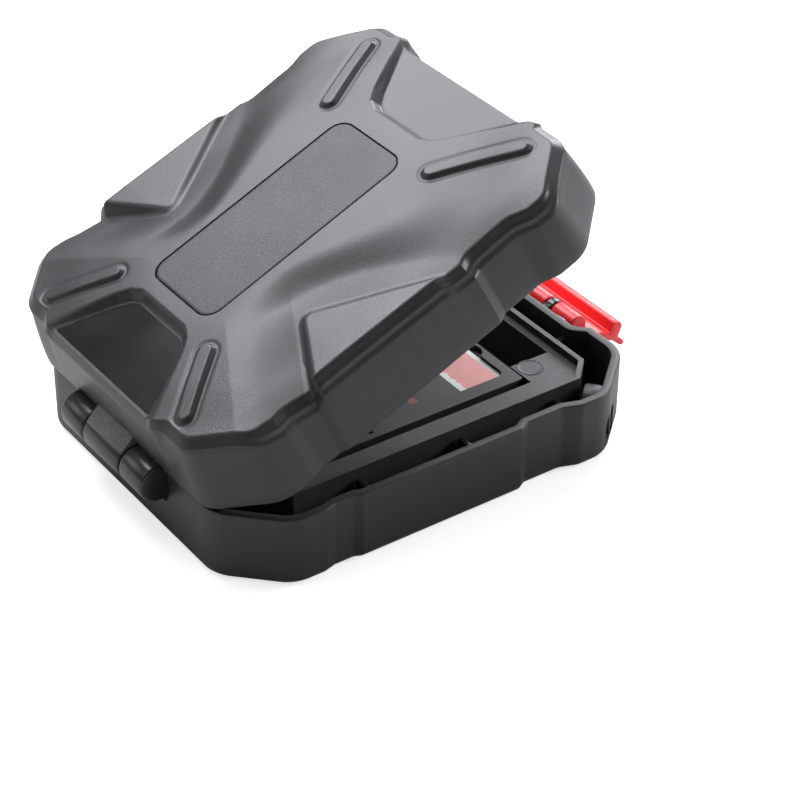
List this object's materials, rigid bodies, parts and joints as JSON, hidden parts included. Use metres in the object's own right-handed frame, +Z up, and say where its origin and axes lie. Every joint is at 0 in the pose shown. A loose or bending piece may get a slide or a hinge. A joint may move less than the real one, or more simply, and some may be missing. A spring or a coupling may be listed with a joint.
{
  "type": "memory card case",
  "caption": "Small hinged hard case with cut corners, holding memory cards in an inner tray and a lift-out card holder, shut by a swinging end latch.",
  "frame": {"origin": "on the base's flat bottom face, below the middle of the inner case", "axes": "+X from the hinge end to the latch end, +Y to the far long side, +Z up out of the base"},
  "size_m": [0.1352, 0.0984, 0.0804],
  "materials": {
    "lid_plastic": "fine satin texture",
    "shell_plastic": "fine satin texture",
    "label_plastic": "smooth satin, blank",
    "panel_plastic": "smooth half gloss",
    "latch_plastic": "satin moulded",
    "card_plastic": "matte with a plain printed label",
    "pin_steel": "drawn"
  },
  "bodies": {
    "base": {"base_shell": "shell_plastic", "base_tray": "shell_plastic", "hinge_pin": "pin_steel", "latch_pin": "pin_steel"},
    "lid": {"lid_shell": "lid_plastic", "label_plate": "label_plastic", "hinge_panel": "panel_plastic", "latch_panel": "panel_plastic"},
    "catch": {"latch": "latch_plastic"},
    "holder": {"card_holder": "shell_plastic"},
    "card": {"sd_card": "card_plastic"}
  },
  "joints": [
    {"name": "lid_hinge", "type": "hinge", "parent": "base", "child": "lid", "pos_m": [-0.0571, 0, 0.0161], "axis": [0, -1, 0], "range_deg": [-23.7, 100]},
    {"name": "latch_hinge", "type": "hinge", "parent": "base", "child": "catch", "pos_m": [0.0589, 0, 0.016], "axis": [0, 1, 0], "range_deg": [-112, 12]},
    {"name": "holder_lift", "type": "slide", "parent": "base", "child": "holder", "axis": [0, 0, 1], "range_m": [0, 0.012]},
    {"name": "card_lift", "type": "slide", "parent": "holder", "child": "card", "axis": [0, 0, 1], "range_m": [0, 0.004]}
  ]
}
